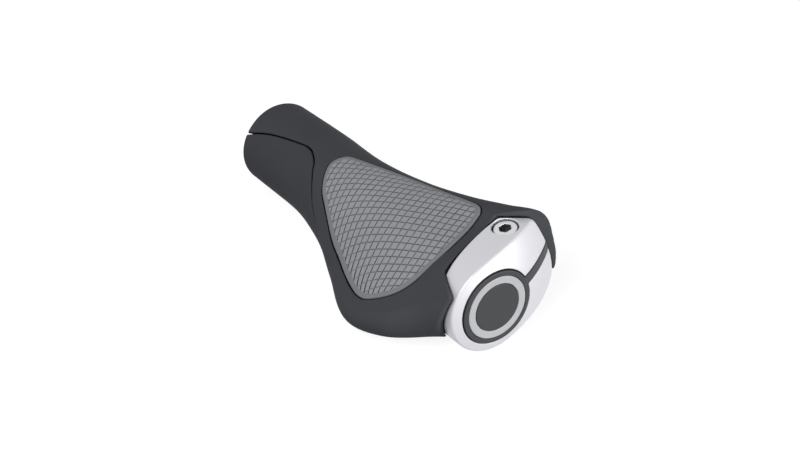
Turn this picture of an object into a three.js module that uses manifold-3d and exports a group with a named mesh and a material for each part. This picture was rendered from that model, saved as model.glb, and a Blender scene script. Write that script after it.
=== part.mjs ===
// Lock-on handlebar grip with a palm wing, for the right end of a flat bar.
//
// The bar axis is X. The inboard face of the grip is at x = 0 and the end plug faces +X.
// The wing reaches backwards, to -Y, and +Z is up. All lengths are in millimetres.

import * as THREE from "three";
import { mergeVertices } from "three/addons/utils/BufferGeometryUtils.js";
import Module from "manifold-3d";

const wasm = await Module();
wasm.setup();

// Bar, sleeve and the play between parts
const BAR_DIAMETER = 22.2;
const BAR_PLAY = 0.1;
const SLEEVE_WALL = 1.8;
const COLLAR_WALL = 1.5;
const SEAT_GAP = 0.3;
const RUBBER_WALL = 2.3;

// Whole length, and how far back from the plug's face other places lie
const GRIP_LENGTH = 135;
const BODY_SETBACK = 2;
const SLEEVE_SETBACK = 5.4;
const COLLAR_SETBACK = 20.5;
const END_ROUNDING = 1;

// Slots that let the collar close on the bar
const COLLAR_SLOTS = 4;
const COLLAR_SLOT_WIDTH = 1.6;
const COLLAR_SLOT_SETBACK = 16;

// Stiff paddle of the sleeve inside the wing
const PADDLE_THICKNESS = 2.4;
const PADDLE_MARGIN = 8;
const PADDLE_LENGTH = 54;
const PADDLE_SETBACK = 28;

// Cross-sections of the rubber: place as a share of the rubber's length, how far the front
// shoulder reaches, how far back and down the wing's edge lies, the edge's radius and how
// softly the wing blends into the tube
const SECTIONS = [
  { at: 0.0, shoulder: 0, back: 1.3, drop: 0, edge: 9.8, blend: 2 },
  { at: 0.235, shoulder: 1.1, back: 3.6, drop: 0.6, edge: 9.7, blend: 5 },
  { at: 0.4, shoulder: 0.3, back: 11.1, drop: 4.1, edge: 7.4, blend: 8.8 },
  { at: 0.58, shoulder: 5.5, back: 22.6, drop: 7.2, edge: 5.6, blend: 8.9 },
  { at: 0.73, shoulder: 11.8, back: 30.4, drop: 9.2, edge: 5.6, blend: 9 },
  { at: 0.843, shoulder: 18.1, back: 26.8, drop: 7.4, edge: 6.1, blend: 9 },
  { at: 0.925, shoulder: 23, back: 16.5, drop: 3.1, edge: 8.2, blend: 7.7 },
  { at: 1.0, shoulder: 22.1, back: 9.9, drop: -3.3, edge: 9.1, blend: 6 },
];
const SHOULDER = { angle: 31.3, stretch: 1, taper: 0.156 };
const NOSE = { angle: -3.2, stretch: 1.17, taper: 0.39 };
const WING_ROOT = { back: 1, rise: 3.5, radius: 11 };

// Fineness of the rubber's outer surface
const BODY_SIDES = 44;
const BODY_STATIONS = 30;

// Finger panel: half its spread round the tube at each share of its length, in degrees
const PANEL_SETBACK = 69;
const PANEL_CENTRE = 205;
const PANEL_GAP = 0.5;
const PANEL_SPREAD = [
  { at: 0.0, half: 54 },
  { at: 0.106, half: 66.3 },
  { at: 0.258, half: 78.8 },
  { at: 0.415, half: 87.5 },
  { at: 0.485, half: 89.9 },
  { at: 0.547, half: 86.6 },
  { at: 0.615, half: 76.3 },
  { at: 0.692, half: 52.1 },
  { at: 0.744, half: 36.4 },
  { at: 0.826, half: 21.3 },
  { at: 0.9, half: 11 },
  { at: 1.0, half: 2 },
];

// Palm pad: its outline lies on a plane that leans back with the wing, as distances back
// from the pad's outboard tip and across the bar
const PAD_LEAN = 20;
const PAD_FLOOR = 3;
const PAD_THICKNESS = 2;
const PAD_PROUD = 0.25;
const PAD_SETBACK = 18.1;
const PAD_OUTLINE = [
  [67.2, 4.9], [68.9, 2.4], [69.9, -0.8], [69.1, -4.2], [65.3, -9.9], [60.4, -13.3], [48.9, -19.9],
  [38.7, -23.9], [31.1, -26.9], [23.5, -29.3], [18.2, -30.3], [13.6, -29.1], [7.6, -23.6],
  [3.4, -16.4], [0.9, -9.2], [0, -2.7], [1.3, 5.7], [4.5, 14.4], [6, 17.1], [9.3, 18.8],
  [15.9, 18.2], [31.1, 15.7], [44, 12.7], [53.9, 9.5], [63.4, 6.4],
];

// Tiles of the pad, between two families of curved grooves. Both families are counted over a
// field on the pad's plane, with u along the bar and v across it as shares of the field's
// size: a groove lies where its count is whole, and the higher terms bend it
const TILE_FIELD = { back: 34.9, across: -5, length: 30, width: 20 };
const STEEP_GROOVES = {
  start: 0.54, u: 10.59, v: 1.12, uu: -0.42, uv: -0.52, vv: 0,
  uuu: 0.24, uuv: 0.15, uvv: 1.19, vvv: 1.56,
};
const SHALLOW_GROOVES = {
  start: 0.24, u: -5.52, v: 7.55, uu: 0.72, uv: 0.16, vv: 0.28,
  uuu: -0.13, uuv: 0.05, uvv: -0.64, vvv: -1.02,
};
const TILE_RIM = 2;
const TILE_DEPTH = 0.4;
const TILE_SINK = 0.12;
const TILE_SHARE = 0.82;
const TILE_COUNT = 18;

// Clamp: a ring round the collar with an ear that carries the screw
const RING_RADIUS = 17.4;
const RING_UPPER = 117;
const RING_LOWER = -71;
const EAR_TOP = 21.4;
const EAR_FRONT = 22;
const EAR_CORNER = 1.8;
const EAR_BULGE = { y: 6.8, z: 8 };
const EAR_NOSE = { y: 28.8, z: -4, radius: 3.4, end: 15 };
const CLAMP_BACK_SETBACK = 18.1;
const SEAT_SETBACK = 14.8;
const SEAT_TURN = 13.9;
const BEVEL = { setback: 11.1, y: 22.1, normal: [-0.651, 0.496, 0.574] };
const FACE_RADIUS = 46.5;
const FACE_RISE = 0.4;
const FACE_SIDES = 96;
const SLOT_WIDTH = 3.2;
const SLOT_ANGLE = 13.3;

// Rubber's rim round the clamp: its slanted end, the opening above the clamp and the lip in
// front of the ear
const RIM = { setback: 6.8, normal: [-1, -0.0985, 0.287] };
const OPENING = { setback: 12, y: -12.4, z: 12.2, normal: [0.516, 0.531, 0.669], floor: 8 };
const LIP = { setback: 11.2, side: [0.795, -0.606, 0], inner: 10, margin: 0.6, tip: -3.6 };

// Clamp screw, an M5 socket screw across the slot
const SCREW_SETBACK = 12.5;
const SCREW_REACH = 16.3;
const SCREW_DIAMETER = 5;
const SCREW_LENGTH = 25;
const SCREW_TOP = 17;
const HEAD_DIAMETER = 8.5;
const HEAD_HEIGHT = 4.6;
const SOCKET_FLATS = 4;
const SOCKET_DEPTH = 2.6;
const COUNTERBORE_PLAY = 0.6;
const SHANK_PLAY = 0.3;
const HOLE_TIP = 1;

// End plug with its tongue in the clamp's slot, and the ring let into its face
const PLUG_RADIUS = 13.8;
const PLUG_THICKNESS = 4.8;
const PLUG_RIM = 2;
const PLUG_CHAMFER = 1.1;
const RING_INLAY = { inner: 9.5, outer: 11.6, depth: 0.9 };
const TONGUE_DEPTH = 3;
const TONGUE_INSET = 0.1;

// Sizes that follow from the ones above
const BORE_RADIUS = BAR_DIAMETER / 2 + BAR_PLAY;
const SLEEVE_RADIUS = BORE_RADIUS + SLEEVE_WALL;
const COLLAR_RADIUS = BORE_RADIUS + COLLAR_WALL;
const RUBBER_BORE = SLEEVE_RADIUS + SEAT_GAP;
const CLAMP_BORE = COLLAR_RADIUS + SEAT_GAP;
const TUBE_RADIUS = RUBBER_BORE + RUBBER_WALL;
const BODY_LENGTH = GRIP_LENGTH - BODY_SETBACK;
const SLEEVE_LENGTH = GRIP_LENGTH - SLEEVE_SETBACK;
const COLLAR_START = GRIP_LENGTH - COLLAR_SETBACK;
const COLLAR_SLOT_START = GRIP_LENGTH - COLLAR_SLOT_SETBACK;
const PADDLE_END = GRIP_LENGTH - PADDLE_SETBACK;
const PADDLE_START = PADDLE_END - PADDLE_LENGTH;
const PANEL_LENGTH = GRIP_LENGTH - PANEL_SETBACK;
const PAD_END = GRIP_LENGTH - PAD_SETBACK;
const CLAMP_BACK = GRIP_LENGTH - CLAMP_BACK_SETBACK;
const SEAT_X = GRIP_LENGTH - SEAT_SETBACK;
const BEVEL_POINT = [GRIP_LENGTH - BEVEL.setback, BEVEL.y, EAR_TOP];
const SCREW_X = GRIP_LENGTH - SCREW_SETBACK;
const PLUG_BACK = GRIP_LENGTH - PLUG_THICKNESS;
const FAR = 200;

const radians = THREE.MathUtils.degToRad;

// A closed geometry becomes a solid that can be cut and joined
function solidOf(geometry) {
  const bare = geometry.clone();
  bare.deleteAttribute("normal");
  bare.deleteAttribute("uv");
  const merged = mergeVertices(bare, 1e-4);
  const index = merged.index.array;
  const kept = [];
  for (let i = 0; i < index.length; i += 3) {
    const [a, b, c] = [index[i], index[i + 1], index[i + 2]];
    if (a !== b && b !== c && c !== a) {
      kept.push(a, b, c);
    }
  }
  return new wasm.Manifold(new wasm.Mesh({
    numProp: 3,
    vertProperties: merged.attributes.position.array,
    triVerts: new Uint32Array(kept),
  }));
}

// A finished solid goes back into a geometry
function geometryOf(solid) {
  const mesh = solid.getMesh();
  const geometry = new THREE.BufferGeometry();
  geometry.setAttribute("position", new THREE.BufferAttribute(mesh.vertProperties, 3));
  geometry.setIndex(new THREE.BufferAttribute(mesh.triVerts, 1));
  geometry.computeVertexNormals();
  return geometry;
}

function pieceOf(name, solid, look) {
  const mesh = new THREE.Mesh(geometryOf(solid), new THREE.MeshStandardMaterial(look));
  mesh.name = name;
  return mesh;
}

// Smooth curve through rows of { at, key }, read at one place
function through(rows, key, at) {
  const last = rows.length - 1;
  const place = THREE.MathUtils.clamp(at, rows[0].at, rows[last].at);
  let i = 0;
  while (i < last - 1 && place > rows[i + 1].at) {
    i += 1;
  }
  const slope = (j) => {
    const before = rows[Math.max(j - 1, 0)];
    const after = rows[Math.min(j + 1, last)];
    return (after[key] - before[key]) / (after.at - before.at);
  };
  const width = rows[i + 1].at - rows[i].at;
  const t = (place - rows[i].at) / width;
  const rise = 3 * t * t - 2 * t * t * t;
  const start = t * (1 - t) * (1 - t) * width * slope(i);
  const end = t * t * (t - 1) * width * slope(i + 1);
  const between = rows[i][key] * (1 - rise) + rows[i + 1][key] * rise;
  return rows[i].at === place ? rows[i][key] : between + start + end;
}

// Distance from a point to the smooth hull of two discs
function taperedBar(y, z, from, to) {
  const length = Math.hypot(to.y - from.y, to.z - from.z);
  if (length < 1e-6) {
    return Math.hypot(y - from.y, z - from.z) - Math.max(from.radius, to.radius);
  }
  const along = ((y - from.y) * (to.y - from.y) + (z - from.z) * (to.z - from.z)) / length;
  const across = Math.abs((z - from.z) * (to.y - from.y) - (y - from.y) * (to.z - from.z)) / length;
  const lean = THREE.MathUtils.clamp((from.radius - to.radius) / length, -0.99, 0.99);
  const square = Math.sqrt(1 - lean * lean);
  const foot = along - (across * lean) / square;
  if (foot <= 0) {
    return Math.hypot(along, across) - from.radius;
  }
  if (foot >= length) {
    return Math.hypot(along - length, across) - to.radius;
  }
  return across * square + along * lean - from.radius;
}

// Disc at the front of the cross-section, pushed out from the bar axis
function frontDisc(disc, reach) {
  return {
    y: reach * disc.stretch * Math.cos(radians(disc.angle)),
    z: reach * disc.stretch * Math.sin(radians(disc.angle)),
    radius: TUBE_RADIUS - disc.taper * reach,
  };
}

// Distance from a point of the cross-section at x to the rubber's outer surface
function rubberDistance(x, y, z) {
  const at = x / BODY_LENGTH;
  const reach = through(SECTIONS, "shoulder", at);
  const blend = through(SECTIONS, "blend", at);
  const axis = { y: 0, z: 0, radius: TUBE_RADIUS };
  const shoulder = frontDisc(SHOULDER, reach);
  const nose = frontDisc(NOSE, reach);
  const tube = Math.min(
    taperedBar(y, z, axis, shoulder),
    taperedBar(y, z, axis, nose),
    taperedBar(y, z, shoulder, nose),
  );
  const root = { y: -WING_ROOT.back, z: WING_ROOT.rise, radius: WING_ROOT.radius };
  const edge = {
    y: -through(SECTIONS, "back", at),
    z: -through(SECTIONS, "drop", at),
    radius: through(SECTIONS, "edge", at),
  };
  const wing = taperedBar(y, z, root, edge);
  const overlap = Math.max(blend - Math.abs(tube - wing), 0) / blend;
  return Math.min(tube, wing) - overlap * overlap * blend * 0.25;
}

// Radius at which the surface, moved outwards by an offset, is met from the bar axis
function rubberRadius(x, angle, offset) {
  let inside = 5;
  let outside = 60;
  for (let step = 0; step < 26; step += 1) {
    const middle = (inside + outside) / 2;
    const distance = rubberDistance(x, middle * Math.cos(angle), middle * Math.sin(angle));
    if (distance < offset) {
      inside = middle;
    } else {
      outside = middle;
    }
  }
  return (inside + outside) / 2;
}

// A unit cylinder with its vertices moved: t runs along it, angle round it, share outwards
function sweptSolid(sides, stations, place) {
  const geometry = new THREE.CylinderGeometry(1, 1, 1, sides, stations);
  const position = geometry.attributes.position;
  for (let i = 0; i < position.count; i += 1) {
    const [sine, height, cosine] = [position.getX(i), position.getY(i), position.getZ(i)];
    const share = Math.round(Math.hypot(sine, cosine));
    const t = height + 0.5;
    const point = place(t, Math.atan2(sine, cosine), share);
    position.setXYZ(i, point.x, point.y, point.z);
  }
  return solidOf(geometry);
}

// Stations lie closer together near the rounded inboard edge
function stationAt(t) {
  const first = 4;
  const step = Math.round(t * BODY_STATIONS);
  if (step < first) {
    return END_ROUNDING * (1 - Math.cos((step / first) * Math.PI / 2));
  }
  return END_ROUNDING + ((step - first) / (BODY_STATIONS - first)) * (BODY_LENGTH - END_ROUNDING);
}

// Rubber's outer form, grown or shrunk by an offset; the inboard edge is rounded
function rubberForm(offset) {
  return sweptSolid(BODY_SIDES, BODY_STATIONS, (t, angle, share) => {
    const x = stationAt(t);
    const short = Math.max(END_ROUNDING - x, 0);
    const rounding = END_ROUNDING - Math.sqrt(Math.max(END_ROUNDING ** 2 - short ** 2, 0));
    const radius = share * rubberRadius(x, angle, offset - rounding);
    return { x, y: radius * Math.cos(angle), z: radius * Math.sin(angle) };
  });
}

// Round bar along X
function barAlongX(radius, from, to, sides = 48) {
  const geometry = new THREE.CylinderGeometry(radius, radius, to - from, sides);
  geometry.rotateZ(-Math.PI / 2);
  geometry.translate((from + to) / 2, 0, 0);
  return solidOf(geometry);
}

// Ring or disc turned about X from a closed profile of [x, radius] points
function turnedAboutX(profile, sides = 48) {
  const points = profile.map(([x, radius]) => new THREE.Vector2(radius, x));
  const geometry = new THREE.LatheGeometry(points, sides);
  geometry.rotateZ(-Math.PI / 2);
  return solidOf(geometry);
}

function box(from, to) {
  const geometry = new THREE.BoxGeometry(to[0] - from[0], to[1] - from[1], to[2] - from[2]);
  geometry.translate((from[0] + to[0]) / 2, (from[1] + to[1]) / 2, (from[2] + to[2]) / 2);
  return solidOf(geometry);
}

// Everything on the side of a plane that its normal points to
function halfSpace(point, normal) {
  const geometry = new THREE.BoxGeometry(FAR * 2, FAR * 2, FAR * 2);
  geometry.translate(0, 0, FAR);
  const turn = new THREE.Quaternion().setFromUnitVectors(
    new THREE.Vector3(0, 0, 1),
    new THREE.Vector3(...normal).normalize(),
  );
  geometry.applyQuaternion(turn);
  geometry.translate(...point);
  return solidOf(geometry);
}

// Outline in the YZ plane pushed along X
function extrudeAlongX(shape, from, to, curveSegments = 6) {
  const geometry = new THREE.ExtrudeGeometry(shape, {
    depth: to - from,
    bevelEnabled: false,
    curveSegments,
  });
  geometry.applyMatrix4(new THREE.Matrix4().makeBasis(
    new THREE.Vector3(0, 1, 0),
    new THREE.Vector3(0, 0, 1),
    new THREE.Vector3(1, 0, 0),
  ));
  geometry.translate(from, 0, 0);
  return solidOf(geometry);
}

// Inner sleeve

function makeSleeve() {
  const tube = turnedAboutX([
    [0, BORE_RADIUS],
    [0, SLEEVE_RADIUS],
    [COLLAR_START, SLEEVE_RADIUS],
    [COLLAR_START, COLLAR_RADIUS],
    [SLEEVE_LENGTH, COLLAR_RADIUS],
    [SLEEVE_LENGTH, BORE_RADIUS],
    [0, BORE_RADIUS],
  ]);
  let sleeve = tube.add(makePaddle(0).subtract(barAlongX(BORE_RADIUS + SLEEVE_WALL / 2, 0, FAR)));
  for (let i = 0; i < COLLAR_SLOTS; i += 1) {
    const slot = new THREE.BoxGeometry(FAR, COLLAR_SLOT_WIDTH, FAR);
    slot.translate(COLLAR_SLOT_START + FAR / 2, 0, FAR / 2);
    slot.rotateX(((i + 0.5) / COLLAR_SLOTS) * 2 * Math.PI);
    sleeve = sleeve.subtract(solidOf(slot));
  }
  return sleeve;
}

// Flat paddle that follows the wing's edge at a margin, grown by a gap for its pocket
function makePaddle(gap) {
  const shape = new THREE.Shape();
  const steps = 10;
  shape.moveTo(PADDLE_START - gap, 0);
  for (let i = 0; i <= steps; i += 1) {
    const x = PADDLE_START + ((PADDLE_END - PADDLE_START) * i) / steps;
    const reach = through(SECTIONS, "back", x / BODY_LENGTH) + through(SECTIONS, "edge", x / BODY_LENGTH);
    const shift = i === 0 ? -gap : i === steps ? gap : 0;
    shape.lineTo(x + shift, -(reach - PADDLE_MARGIN + gap));
  }
  shape.lineTo(PADDLE_END + gap, 0);
  const thickness = PADDLE_THICKNESS + 2 * gap;
  const settings = { depth: thickness, bevelEnabled: false, curveSegments: 8 };
  const geometry = new THREE.ExtrudeGeometry(shape, settings);
  geometry.translate(0, 0, -thickness / 2);
  // the paddle droops with the wing
  const peak = SECTIONS.reduce((best, row) => (row.back > best.back ? row : best));
  geometry.rotateX(Math.atan2(peak.drop, peak.back));
  return solidOf(geometry);
}

// Clamp

// The ring and its ear as one outline, grown by a gap for the pocket in the rubber
function clampOutline(gap) {
  const shape = new THREE.Shape();
  const ring = RING_RADIUS + gap;
  const upper = radians(RING_UPPER);
  const lower = radians(RING_LOWER);
  const start = { y: ring * Math.cos(upper), z: ring * Math.sin(upper) };
  const top = EAR_TOP + gap;
  const front = EAR_FRONT + gap;
  const nose = { y: EAR_NOSE.y + gap, z: EAR_NOSE.z, radius: EAR_NOSE.radius };
  shape.absarc(0, 0, ring, upper, lower + 2 * Math.PI, false);
  shape.lineTo(nose.y + nose.radius * Math.cos(lower), nose.z + nose.radius * Math.sin(lower));
  shape.absarc(nose.y, nose.z, nose.radius, lower, radians(EAR_NOSE.end), false);
  shape.quadraticCurveTo(front + EAR_BULGE.y, EAR_BULGE.z, front + EAR_CORNER / 2, top - EAR_CORNER);
  shape.quadraticCurveTo(front, top, front - EAR_CORNER, top);
  // the flat top meets the tangent of the ring
  const meet = start.y + (top - start.z) / Math.tan(upper - Math.PI / 2);
  shape.quadraticCurveTo(meet, top, start.y, start.z);
  return shape;
}

// Outboard side of the turned, upright face that the clamp backs onto
function seatSide(gap) {
  const turn = radians(SEAT_TURN);
  return halfSpace([SEAT_X - gap, 0, 0], [Math.cos(turn), Math.sin(turn), 0]);
}

// Underside of the sloped plane that cuts the ear's inboard corner
function bevelSide(gap) {
  const normal = new THREE.Vector3(...BEVEL.normal).normalize();
  const point = new THREE.Vector3(...BEVEL_POINT).addScaledVector(normal, gap);
  return halfSpace(point.toArray(), normal.negate().toArray());
}

// Domed outboard face of the clamp; half a step of turn keeps its edges off those of the bores
function clampFace(gap) {
  const geometry = new THREE.SphereGeometry(FACE_RADIUS + gap, FACE_SIDES, FACE_SIDES * 2 / 3);
  geometry.rotateZ(-Math.PI / 2);
  geometry.rotateX(Math.PI / FACE_SIDES);
  geometry.translate(GRIP_LENGTH + FACE_RISE - FACE_RADIUS, 0, 0);
  return solidOf(geometry);
}

// Slot along the ear, from the bore outwards
function slotBox(halfWidth, from, to, start) {
  const geometry = new THREE.BoxGeometry(to - from, FAR, 2 * halfWidth);
  geometry.translate((from + to) / 2, FAR / 2 + start, 0);
  geometry.rotateX(radians(SLOT_ANGLE));
  return solidOf(geometry);
}

// Round bar along the screw's axis, which crosses the slot
function screwBar(radius, from, to, sides) {
  const geometry = new THREE.CylinderGeometry(radius, radius, to - from, sides);
  geometry.rotateX(Math.PI / 2);
  geometry.translate(SCREW_X, SCREW_REACH, (from + to) / 2);
  geometry.rotateX(radians(SLOT_ANGLE));
  return solidOf(geometry);
}

function makeClamp() {
  const bottom = SCREW_TOP - HEAD_HEIGHT - SCREW_LENGTH;
  const counterbore = HEAD_DIAMETER / 2 + COUNTERBORE_PLAY;
  return extrudeAlongX(clampOutline(0), CLAMP_BACK, FAR)
    .intersect(seatSide(0))
    .intersect(bevelSide(0))
    .intersect(clampFace(0))
    .subtract(barAlongX(CLAMP_BORE, 0, FAR))
    .subtract(barAlongX(PLUG_RADIUS + SEAT_GAP, PLUG_BACK - SEAT_GAP, FAR))
    .subtract(slotBox(SLOT_WIDTH / 2 + SEAT_GAP, 0, FAR, 0))
    .subtract(screwBar(SCREW_DIAMETER / 2 + SHANK_PLAY, bottom - HOLE_TIP, SCREW_TOP, 20))
    .subtract(screwBar(counterbore, SCREW_TOP - HEAD_HEIGHT - SEAT_GAP, FAR, 28));
}

function makeScrew() {
  const headBase = SCREW_TOP - HEAD_HEIGHT;
  const socketRadius = SOCKET_FLATS / 2 / Math.cos(Math.PI / 6);
  const socket = screwBar(socketRadius, SCREW_TOP - SOCKET_DEPTH, FAR, 6);
  return screwBar(SCREW_DIAMETER / 2, headBase - SCREW_LENGTH, headBase + HEAD_HEIGHT / 8, 20)
    .add(screwBar(HEAD_DIAMETER / 2, headBase, SCREW_TOP, 28))
    .subtract(socket);
}

// Plug

function makePlug() {
  const disc = turnedAboutX([
    [PLUG_BACK, 0],
    [PLUG_BACK, PLUG_RADIUS],
    [GRIP_LENGTH - PLUG_CHAMFER, PLUG_RADIUS],
    [GRIP_LENGTH, PLUG_RADIUS - PLUG_RIM],
    [GRIP_LENGTH, 0],
  ]);
  const tongue = slotBox(SLOT_WIDTH / 2, CLAMP_BACK, GRIP_LENGTH, PLUG_RADIUS - PLUG_RIM)
    .intersect(clampFace(-TONGUE_INSET))
    .subtract(clampFace(-TONGUE_DEPTH))
    .intersect(extrudeAlongX(clampOutline(-TONGUE_INSET), CLAMP_BACK, FAR));
  const groove = ringInlay(SEAT_GAP / 2, SEAT_GAP);
  return disc.add(tongue).subtract(groove);
}

function ringInlay(sideGap, floorGap) {
  const back = GRIP_LENGTH - RING_INLAY.depth - floorGap;
  const face = GRIP_LENGTH + floorGap;
  return turnedAboutX([
    [back, RING_INLAY.inner - sideGap],
    [back, RING_INLAY.outer + sideGap],
    [face, RING_INLAY.outer + sideGap],
    [face, RING_INLAY.inner - sideGap],
    [back, RING_INLAY.inner - sideGap],
  ], 64);
}

// Palm pad

// Smooth outline of the pad on its plane, grown by a distance
function padRing(grow) {
  const points = PAD_OUTLINE.map(([back, across]) => new THREE.Vector2(PAD_END - back, across));
  const curve = new THREE.SplineCurve([...points, points[0]]);
  return curve.getPoints(points.length * 2).slice(0, -1).map((p, i, all) => {
    const before = all[(i + all.length - 1) % all.length];
    const after = all[(i + 1) % all.length];
    const along = after.clone().sub(before).normalize();
    return p.clone().add(new THREE.Vector2(along.y, -along.x).multiplyScalar(grow));
  });
}

// Everything over the outline, above the pad's floor
function padPrism(grow) {
  const shape = new THREE.Shape(padRing(grow));
  const geometry = new THREE.ExtrudeGeometry(shape, { depth: FAR, bevelEnabled: false });
  geometry.translate(0, 0, PAD_FLOOR);
  geometry.rotateX(radians(PAD_LEAN));
  return solidOf(geometry);
}

// Number of grooves passed on the way to a place of the tile field
function grooveCount(family, u, v) {
  const straight = family.start + family.u * u + family.v * v;
  const bent = family.uu * u * u + family.uv * u * v + family.vv * v * v;
  const twisted = family.uuu * u ** 3 + family.uuv * u * u * v;
  const turned = family.uvv * u * v * v + family.vvv * v ** 3;
  return straight + bent + twisted + turned;
}

// Place on the pad's plane where both counts are met, found by Newton's steps
function tilePoint(steep, shallow) {
  const step = 0.001;
  let [u, v] = [0, 0];
  for (let turn = 0; turn < 12; turn += 1) {
    const [a, b] = [grooveCount(STEEP_GROOVES, u, v), grooveCount(SHALLOW_GROOVES, u, v)];
    const au = (grooveCount(STEEP_GROOVES, u + step, v) - a) / step;
    const av = (grooveCount(STEEP_GROOVES, u, v + step) - a) / step;
    const bu = (grooveCount(SHALLOW_GROOVES, u + step, v) - b) / step;
    const bv = (grooveCount(SHALLOW_GROOVES, u, v + step) - b) / step;
    const spread = au * bv - av * bu;
    u += ((steep - a) * bv - (shallow - b) * av) / spread;
    v += ((shallow - b) * au - (steep - a) * bu) / spread;
  }
  return {
    x: PAD_END - TILE_FIELD.back + u * TILE_FIELD.length,
    across: TILE_FIELD.across + v * TILE_FIELD.width,
  };
}

// Height of the pad's top over its plane, moved outwards by an offset
function padRise(x, across, offset) {
  const [cosine, sine] = [Math.cos(radians(PAD_LEAN)), Math.sin(radians(PAD_LEAN))];
  let low = 0;
  let high = 40;
  for (let step = 0; step < 20; step += 1) {
    const middle = (low + high) / 2;
    const distance = rubberDistance(x, across * cosine - middle * sine, across * sine + middle * cosine);
    if (distance < PAD_PROUD + offset) {
      low = middle;
    } else {
      high = middle;
    }
  }
  return low;
}

// Everything over the tiles: its underside has one flat per tile, sunk a little into the
// pad's smooth top, and four slopes down to the grooves round it
function overTiles() {
  const outline = padRing(0);
  const corners = [[0, 0], [1, 0], [1, 1], [0, 1]];
  const points = [];
  const quad = (a, b, c, d) => points.push(...a, ...b, ...c, ...a, ...c, ...d);
  const inField = (i, j) => {
    const middle = tilePoint(i + 0.5, j + 0.5);
    return insideOf(outline, middle.x, middle.across);
  };
  const placed = (i, j, offset) => {
    const { x, across } = tilePoint(i, j);
    return [x, across, padRise(x, across, offset)];
  };
  for (let i = -TILE_COUNT; i < TILE_COUNT; i += 1) {
    for (let j = -TILE_COUNT; j < TILE_COUNT; j += 1) {
      if (!inField(i, j)) {
        continue;
      }
      const low = corners.map(([a, b]) => placed(i + a, j + b, -TILE_DEPTH));
      const high = corners.map(([a, b]) => {
        const [p, q] = [0.5 + (a - 0.5) * TILE_SHARE, 0.5 + (b - 0.5) * TILE_SHARE];
        return placed(i + p, j + q, -TILE_SINK);
      });
      const lid = low.map(([x, across]) => [x, across, FAR]);
      quad(...high.toReversed());
      quad(...lid);
      corners.forEach(([a, b], k) => {
        const next = (k + 1) % 4;
        quad(low[k], high[k], high[next], low[next]);
        const [c, d] = corners[next];
        if (!inField(i + (b === d ? 0 : a + c - 1), j + (a === c ? 0 : b + d - 1))) {
          quad(low[k], low[next], lid[next], lid[k]);
        }
      });
    }
  }
  const field = new THREE.BufferGeometry();
  field.setAttribute("position", new THREE.Float32BufferAttribute(points, 3));
  field.rotateX(radians(PAD_LEAN));
  return solidOf(field);
}

function insideOf(outline, x, across) {
  let inside = false;
  outline.forEach((a, i) => {
    const b = outline[(i + 1) % outline.length];
    if ((a.y > across) !== (b.y > across) && x < a.x + ((across - a.y) * (b.x - a.x)) / (b.y - a.y)) {
      inside = !inside;
    }
  });
  return inside;
}

function makePad() {
  const grooves = overTiles().intersect(padPrism(-TILE_RIM));
  return rubberForm(PAD_PROUD)
    .intersect(padPrism(0))
    .subtract(rubberForm(-PAD_THICKNESS))
    .subtract(grooves);
}

// Finger panel

// Sector round the tube that the panel fills, widened by a gap for the cut in the rubber
function panelSector(gap) {
  const stations = 28;
  const turns = 24;
  const layers = 3;
  const [near, far] = [RUBBER_BORE - 2, 40];
  const geometry = new THREE.BoxGeometry(1, 1, 1, turns, stations, layers);
  const position = geometry.attributes.position;
  for (let i = 0; i < position.count; i += 1) {
    const along = position.getY(i) + 0.5;
    const turn = position.getX(i) * 2;
    const radius = near + (far - near) * (position.getZ(i) + 0.5);
    const x = (PANEL_LENGTH + gap + 1) * along - 1;
    const half = through(PANEL_SPREAD, "half", (x - gap) / PANEL_LENGTH);
    const ahead = through(PANEL_SPREAD, "half", (x - gap + 1) / PANEL_LENGTH);
    const slope = radians(ahead - half) * TUBE_RADIUS;
    const spread = radians(half) + (gap / TUBE_RADIUS) * Math.hypot(1, slope);
    const angle = radians(PANEL_CENTRE) + turn * spread;
    position.setXYZ(i, x, radius * Math.cos(angle), radius * Math.sin(angle));
  }
  return solidOf(geometry);
}

// Body

function makeRubber() {
  const lipEnd = GRIP_LENGTH - LIP.setback;
  const rim = halfSpace([GRIP_LENGTH - RIM.setback, 0, 0], RIM.normal);
  const pocket = extrudeAlongX(clampOutline(SEAT_GAP), CLAMP_BACK - SEAT_GAP, FAR)
    .intersect(seatSide(SEAT_GAP))
    .intersect(bevelSide(SEAT_GAP));
  const above = halfSpace([GRIP_LENGTH - OPENING.setback, OPENING.y, OPENING.z], OPENING.normal)
    .intersect(seatSide(SEAT_GAP))
    .intersect(halfSpace([BEVEL_POINT[0], BEVEL_POINT[1], 0], LIP.side))
    .intersect(box([0, -FAR, OPENING.floor], [FAR, EAR_FRONT + LIP.margin, FAR]));
  const pastLip = box([lipEnd, LIP.inner, -FAR], [FAR, FAR, FAR]);
  const belowLip = box([CLAMP_BACK - SEAT_GAP, LIP.inner, -FAR], [FAR, FAR, LIP.tip])
    .intersect(seatSide(SEAT_GAP));
  return rubberForm(0)
    .intersect(rim)
    .subtract(pastLip)
    .subtract(belowLip)
    .subtract(barAlongX(RUBBER_BORE, -FAR, COLLAR_START + SEAT_GAP))
    .subtract(barAlongX(CLAMP_BORE, COLLAR_START, FAR))
    .subtract(pocket)
    .subtract(above);
}

const wholeRubber = makeRubber();
const paddlePocket = makePaddle(SEAT_GAP);
const padRecess = padPrism(SEAT_GAP).subtract(rubberForm(-PAD_THICKNESS - SEAT_GAP));
const rubber = wholeRubber
  .subtract(paddlePocket)
  .subtract(padRecess)
  .subtract(panelSector(PANEL_GAP / 2));
const panel = wholeRubber
  .intersect(panelSector(-PANEL_GAP / 2))
  .subtract(paddlePocket)
  .subtract(padRecess);

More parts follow.
